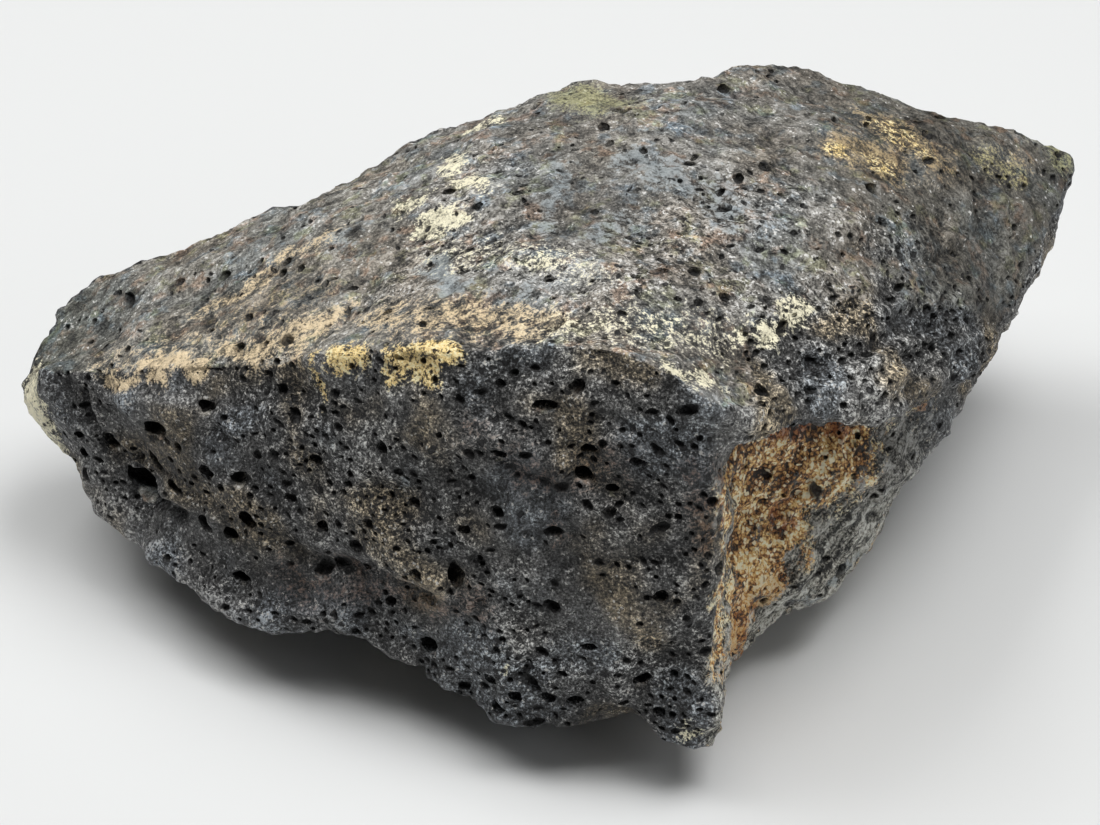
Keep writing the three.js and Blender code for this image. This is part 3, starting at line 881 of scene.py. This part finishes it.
class Surface:
    """What the looks follow at each point. The grains named at the end swing round zero."""

    def __init__(self, nodes):
        object_place = nodes.make("ShaderNodeTexCoord", output="Object")
        self.place = nodes.vector("SCALE", object_place, Scale=1 / MM)
        self.across, _, self.up = nodes.split(self.place, "ShaderNodeSeparateXYZ")
        self.crust, self.hollow, self.porous = nodes.attribute("zones")
        height, self.pit, self.band = nodes.attribute("form")
        self.tan, self.gold, self.cream = nodes.attribute("warm_stains")
        self.slate, self.rust, self.sulphur = nodes.attribute("cool_stains")
        self.golden, self.bare, self.maroon_and_shade = nodes.attribute("coats")
        self.broad, patchy, furrow = nodes.attribute("mottle")
        self.frost, self.ochre, _ = nodes.attribute("frosts")
        _, lots = nodes.cells(self.place, 4.6)
        self.crumb, self.glint, _ = nodes.split(lots)

        left = drawn_noise(nodes, self.place, LEFT_DRIFT, 1.6, 1.5, 3, 0.7)
        right = drawn_noise(nodes, self.place, RIGHT_DRIFT, 1.6, 1.6, 3, 0.7)
        self.ragged = left + (right - left) * nodes.step(self.across, -4, 8) - 0.5
        self.grit = nodes.noise(self.place, 4.4, 2, 0.75) - 0.5
        self.height = height - 0.5
        self.patchy = patchy - 0.5
        self.furrow = furrow - 0.5
        # relief: painted shade and light, darker in the low spots of the relief and lighter on its high
        # spots, mixed with some random mottle
        self.relief = self.height * 0.22 + self.patchy * 0.08


def dark_stone(nodes, at, colours):
    """The stone of the broken faces, from black gaps to pale grains, darker in the relief's low spots as
    painted shade and lighter on its high spots, and where it sparkles.
    """
    calm = nodes.step(at.porous + at.patchy * 0.6, 0.1, 0.45)
    swing = 0.95 + 0.3 * calm + 0.45 * at.frost
    tone = 0.495 + (at.grit * 0.66 + at.ragged * 0.48) * swing + at.relief * 0.8 + at.frost * 0.02
    dark = nodes.ramp(tone, [
        (0.39, (0.003, 0.003, 0.003)),
        (0.45, shade_of(colours.matrix, 0.38)),
        (0.5, shade_of(colours.matrix, 0.8)),
        (0.56, shade_of(colours.matrix, 1.45)),
        (0.62, (0.32, 0.32, 0.31)),
        (0.7, (0.8, 0.8, 0.77)),
    ])
    dark = tinted(
        nodes, dark,
        ((1.28, 1.06, 0.74), nodes.step(at.broad, 0.5, 0.85) * 0.9),
        ((0.88, 0.98, 1.1), nodes.step(at.broad, 0.45, 0.15) * 0.8),
        ((0.8, 0.8, 0.81), nodes.step(at.across, -12, -24)),
        ((0.82, 0.82, 0.83), nodes.step(at.up, 13, 6)),
    )
    sparkle = nodes.step(at.crumb, 0.93, 0.95) * nodes.step(tone, 0.49, 0.55)
    return nodes.blend(dark, (0.62, 0.61, 0.58), sparkle * 0.8), sparkle


def weathered_crust(nodes, at, colours):
    """The grey-brown crust with ashy grains on its high spots, its tone, and where it glints; its tone is
    darker in the relief's low spots as painted shade and lighter on the high ones.
    """
    swing = (at.grit * 0.52 + at.ragged * 0.66) * (0.82 + 0.6 * at.frost)
    tone = 0.5 + swing + at.relief + at.furrow * 0.04 + at.frost * 0.02
    crust = nodes.ramp(tone, [
        (0.34, (0.008, 0.008, 0.008)),
        (0.42, shade_of(colours.crust, 0.35)),
        (0.49, shade_of(colours.crust, 0.85)),
        (0.55, shade_of(colours.crust, 1.45)),
        (0.62, shade_of(colours.ash, 0.85)),
        (0.72, shade_of(colours.ash, 1.4)),
    ])
    drift = drawn_noise(nodes, at.place, LEFT_DRIFT, 2.5, 0.22, 3, 0.6)
    cool, warm, green = nodes.split(nodes.noise(at.place, 0.42, 3, 0.65, "Color"))
    crust = tinted(
        nodes, crust,
        ((1.08, 0.98, 0.88), nodes.step(at.broad, 0.5, 0.9) * 0.6),
        ((0.92, 1.0, 1.08), nodes.step(at.broad, 0.45, 0.1) * 0.9),
        ((0.8, 0.79, 0.77), nodes.step(drift, 0.48, 0.34)),
        ((1.2, 1.18, 1.14), nodes.step(drift, 0.52, 0.66)),
        # painted shade: the crust's right part is darker, for light that falls from the left
        ((0.54, 0.53, 0.5), nodes.step(at.across, 12, 30)),
        # painted light: the crust's left part is lighter, for light that falls from the left
        ((1.15, 1.14, 1.1), nodes.step(at.across, -8, -20)),
        ((0.62, 0.65, 0.63), nodes.step(at.across, -36, -43)),
        ((0.86, 1.0, 1.16), nodes.step(cool, 0.53, 0.66)),
        ((1.16, 0.94, 0.82), nodes.step(warm, 0.54, 0.66)),
        ((1.0, 1.04, 0.82), nodes.step(green, 0.54, 0.66)),
    )
    glints = nodes.step(at.glint + at.frost * 0.08 - nodes.step(at.across, 14, 28) * 0.08, 0.88, 0.91)
    glints = glints * nodes.step(tone, 0.5, 0.58)
    return nodes.blend(crust, (0.85, 0.84, 0.81), glints * 0.8), tone, glints


def in_the_hollow(nodes, at, colours, facet, gap, body):
    """The body with the hollow's bare streaky stone, and over it the coat of rust and golden crystals."""
    broken = drawn_noise(nodes, at.place, HOLLOW_GRAIN, 1.7, 0.5, 4, 0.72) - 0.5
    tone = 0.572 + facet * 0.22 - nodes.step(gap, 0.35, 0.75) * 0.1
    # at.height adds painted shade in the low spots and painted light on the high ones
    tone = tone + broken * 0.9 + at.grit * 0.42 + at.height * 0.2
    coat = nodes.ramp(tone, [
        (0.36, (0.012, 0.006, 0.003)),
        (0.43, shade_of(colours.rust, 0.45)),
        (0.49, shade_of(colours.rust, 1.4)),
        (0.54, (0.72, 0.43, 0.14)),
        (0.6, (0.96, 0.72, 0.32)),
        (0.68, (1.0, 0.94, 0.7)),
    ])
    lit_facets = nodes.step(facet, 0.32, 0.35) * nodes.step(tone, 0.5, 0.56)
    coat = nodes.blend(coat, (1.0, 0.92, 0.68), lit_facets * 0.9)
    coat = tinted(
        nodes, coat,
        # a dark maroon tint: partly the coat's own maroon, partly painted shade under the ledge
        ((0.5, 0.24, 0.2), nodes.step(at.maroon_and_shade + at.ragged * 1.6, 0.45, 0.8) * 0.8),
        ((0.66, 0.5, 0.34), nodes.step(at.up, 14, 8)),
    )

    flow = drawn_noise(nodes, at.place, LIP_FLOW, 3.5, 1.3, 4, 0.7) - 0.5
    # the bare stone's tone: its flow lines and grain, with painted shade in the low spots and painted light
    # on the high ones
    bare_stone = nodes.ramp(0.5 + flow * 1.2 + at.grit * 0.6 + at.height * 0.15, [
        (0.37, (0.008, 0.008, 0.007)),
        (0.43, (0.08, 0.08, 0.068)),
        (0.49, (0.28, 0.27, 0.23)),
        (0.56, (0.54, 0.53, 0.47)),
        (0.65, (0.82, 0.82, 0.76)),
    ])
    # painted shade: the bare stone is darker above the lip, on the lower right body that lies in shade
    bare_stone = tinted(nodes, bare_stone, ((0.6, 0.6, 0.62), nodes.step(at.up, 10, 17)))
    body = nodes.blend(body, bare_stone, nodes.step(at.hollow + at.ragged * 1.6, 0.2, 0.7) * 0.85)
    edge = at.golden - at.bare * 0.7 + broken * 2.4 + at.grit * 1.4
    coated = nodes.step(edge, 0.15, 0.55) * nodes.step(at.hollow + at.ragged * 1.2, 0.1, 0.5)
    return nodes.blend(body, coat, coated)


def stained(nodes, at, colours, facet, grain_and_painted_light, body):
    """The body under its stains, each dark in the low spots and bright on the high ones: painted shade and
    painted light, mixed with the grain's random tone.
    """
    glassy = nodes.blend(shade_of(colours.slate, 0.75), shade_of(colours.slate, 1.25), grain_and_painted_light)
    body = nodes.blend(body, glassy, grown(nodes, at, at.slate, 0.42, 0.85, 0.4) * 0.75)
    far_right = nodes.step(at.across, 10, 16)
    rusty = grown(nodes, at, at.rust)
    for tint, gloom, share in (
        (colours.ochre, 0.3, grown(nodes, at, at.ochre, 0.35, 1.1) * 0.65),
        (colours.tan, 0.34, grown(nodes, at, at.tan, 0.36, 0.95) * 0.88),
        (colours.sulphur, 0.3, grown(nodes, at, at.sulphur, 0.2, 0.9) * 0.65),
        ((0.17, 0.085, 0.045), 0.3, rusty * (0.55 - far_right * 0.55)),
        (shade_of(colours.rust, 0.9), 0.2, rusty * (far_right * 0.8)),
        (colours.cream, 0.36, grown(nodes, at, at.cream, 0.42, 0.78) * 0.95),
    ):
        # each film in a shaded and a lit copy of its tint: painted shade in the low spots, painted light on
        # the high ones
        film = nodes.blend(shade_of(tint, gloom), shade_of(tint, 1.2), grain_and_painted_light)
        body = nodes.blend(body, film, share)

    ore = nodes.ramp(0.52 + facet * 0.2 + at.grit * 0.6 + at.ragged * 0.45, [
        (0.37, (0.03, 0.015, 0.006)),
        (0.44, shade_of(colours.gold, 0.3)),
        (0.49, colours.gold),
        (0.57, shade_of(colours.gold, 1.32)),
        (0.66, (1.0, 0.9, 0.56)),
    ])
    return nodes.blend(body, ore, grown(nodes, at, at.gold, 0.28, 0.6))


def pin_holes(nodes, at):
    """How open the fine pin-holes are at each point, from 0 to 1."""
    crowd = (1 - at.crust) * (0.1 + 0.9 * at.porous) + at.band * 0.4 + at.frost * at.crust * 0.25
    crowd = (crowd + 0.06).at_most(1.0)
    shake = nodes.noise(at.place, 2.0, 0, output="Color")
    warped = nodes.vector("ADD", at.place, nodes.vector("SCALE", shake, Scale=0.5))
    wide = pores(nodes, warped, 1.05, 0.36, crowd * 0.9)
    fine = pores(nodes, warped, 1.9, 0.21, crowd * 1.2 - 0.05)
    return wide.at_least(fine) * (1 - at.hollow * 0.7)


def stone_material(colours):
    material = bpy.data.materials.new("meteorite_stone")
    nodes = Nodes(material)
    at = Surface(nodes)
    dark, sparkle = dark_stone(nodes, at, colours)
    crust, crust_tone, glints = weathered_crust(nodes, at, colours)
    crust_share = at.crust * (1 - nodes.step(at.band, 0.35, 0.85) * 0.85)
    body = nodes.blend(dark, crust, nodes.step(crust_share + at.ragged * 1.5, 0.25, 0.75))

    gap, crystal = nodes.cells(at.place, 3.4)
    facet = nodes.split(crystal)[0] - 0.5
    body = in_the_hollow(nodes, at, colours, facet, gap, body)
    body = stained(nodes, at, colours, facet, nodes.step(crust_tone, 0.4, 0.58), body)
    holes = pin_holes(nodes, at)
    # painted shade: the pin-holes and the bubbles are painted near black, for the shade deep inside them
    body = nodes.blend(body, (0.004, 0.004, 0.005), holes * 0.95)
    body = nodes.blend(body, (0.006, 0.006, 0.006), at.pit * 0.96)

    leather = nodes.noise(at.place, 1.25, 2, 0.6)
    normal = nodes.make(
        "ShaderNodeBump", {},
        {"Height": at.grit * 0.5 + leather * 1.1 - holes * 0.7, "Strength": 1.0, "Distance": 0.3 * MM})
    roughness = 0.58 + at.ragged * 0.5 + at.crust * 0.08 - (sparkle + glints) * 0.2
    finish = nodes.make(
        "ShaderNodeBsdfPrincipled", {},
        {"Base Color": body, "Roughness": roughness.at_least(0.25).at_most(0.95), "Normal": normal})
    nodes.make("ShaderNodeOutputMaterial", {}, {"Surface": finish})
    return material


# ---- Operators ----

SHARP_ANGLE = math.radians(55)  # edges steeper than this stay crisp


class METEORITE_OT_stone(bpy.types.Operator):
    """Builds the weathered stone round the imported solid"""

    bl_idname = "meteorite.stone"
    bl_label = "Weathered Stone"

    def execute(self, context):
        shape, colours = context.scene.stone_shape, context.scene.stone_colours
        rng = random.Random(SEED)
        noise.seed_set(SEED)
        body = rounded_body(shape)
        rough = roughened(body, shape)
        pockets = apart(large_pockets(surface_tree(rough)) + small_pockets(rough, shape, rng))
        mesh = in_one_piece(mended(hollowed(rough, pockets, rng, shape)))
        mesh.name = "meteorite"
        for vertex in mesh.vertices:
            vertex.co.z = max(vertex.co.z, 0)
        painted(mesh, body, pockets)
        for polygon in mesh.polygons:
            polygon.use_smooth = True
        mesh.set_sharp_from_angle(angle=SHARP_ANGLE)
        piece = new_object("meteorite", mesh)
        mesh.materials.clear()
        mesh.materials.append(stone_material(colours))
        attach(piece, "root")
        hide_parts("stone")
        return {"FINISHED"}


def plain_material(name, tint, roughness):
    material = bpy.data.materials.new(name)
    nodes = Nodes(material)
    finish = nodes.make("ShaderNodeBsdfPrincipled", {}, {"Base Color": (*tint, 1), "Roughness": roughness})
    nodes.make("ShaderNodeOutputMaterial", {}, {"Surface": finish})
    return material


def add_light(name, place, aim, power, size, tint):
    """A soft light, of a width and a depth, at a place and turned to its aim."""
    data = bpy.data.lights.new(name, "AREA")
    data.shape = "RECTANGLE"
    data.energy, data.color = power, tint
    data.size, data.size_y = size
    light = new_object(name, data)
    light.location = place
    light.rotation_euler = (aim - place).to_track_quat("-Z", "Y").to_euler()


class METEORITE_OT_stage(bpy.types.Operator):
    """Builds the floor, the lights and the camera"""

    bl_idname = "meteorite.stage"
    bl_label = "Stage"

    def execute(self, context):
        scene, stage = context.scene, context.scene.stage_settings
        form = bmesh.new()
        bmesh.ops.create_circle(form, cap_ends=True, segments=96, radius=4)
        mesh = new_mesh("floor", form)
        mesh.materials.append(plain_material("pale_floor", stage.floor, 0.9))
        new_object("floor", mesh)

        aim = spot(*AIM)
        back = Vector((0, -math.cos(stage.elevation), math.sin(stage.elevation)))
        data = bpy.data.cameras.new("camera")
        data.lens = stage.lens
        data.clip_start = 0.01
        camera = new_object("camera", data)
        camera.location = aim + back * stage.distance
        camera.rotation_euler = (-back).to_track_quat("-Z", "Y").to_euler()
        scene.camera = camera

        for name, place, power, size in (
            ("left", (-0.26, 0.14, 0.5), 1.45, (0.32, 0.3)),
            ("right", (0.2, 0.03, 0.55), 1.5, (0.3, 0.3)),
            ("top", (0.0, -0.02, 0.6), 1.4, (0.6, 0.3)),
            ("fill", (0.42, -0.22, 0.3), 0.3, (0.35, 0.3)),
        ):
            add_light(name, aim + Vector(place), aim, power, size, (1.0, 0.998, 0.992))
        world = bpy.data.worlds.new("studio")
        world.use_nodes = True
        ground = world.node_tree.nodes["Background"]
        ground.inputs["Color"].default_value = (0.96, 0.98, 1.0, 1)
        ground.inputs["Strength"].default_value = 0.04
        scene.world = world
        scene.view_settings.view_transform = "Standard"
        return {"FINISHED"}


class METEORITE_PT_panel(bpy.types.Panel):
    """Lists the stone's sizes and colours and its operators"""

    bl_label = "Meteorite"
    bl_idname = "METEORITE_PT_panel"
    bl_space_type = "VIEW_3D"
    bl_region_type = "UI"
    bl_category = "Meteorite"

    def draw(self, context):
        for name, operator in (
            ("stone_shape", None),
            ("stone_colours", METEORITE_OT_stone),
            ("stage_settings", METEORITE_OT_stage),
        ):
            group = getattr(context.scene, name)
            box = self.layout.box()
            for key in group.bl_rna.properties.keys():
                if key not in ("rna_type", "name"):
                    box.prop(group, key)
            if operator:
                self.layout.operator(operator.bl_idname)


GROUPS = {"stone_shape": StoneShape, "stone_colours": StoneColours, "stage_settings": StageSettings}
CLASSES = (*GROUPS.values(), METEORITE_OT_stone, METEORITE_OT_stage, METEORITE_PT_panel)


def register():
    for item in CLASSES:
        bpy.utils.register_class(item)
    for name, group in GROUPS.items():
        setattr(bpy.types.Scene, name, PointerProperty(type=group))


def unregister():
    for name in GROUPS:
        delattr(bpy.types.Scene, name)
    for item in reversed(CLASSES):
        bpy.utils.unregister_class(item)


def main():
    register()
    bpy.ops.meteorite.stone()
    bpy.ops.meteorite.stage()


if __name__ == "__main__":
    main()
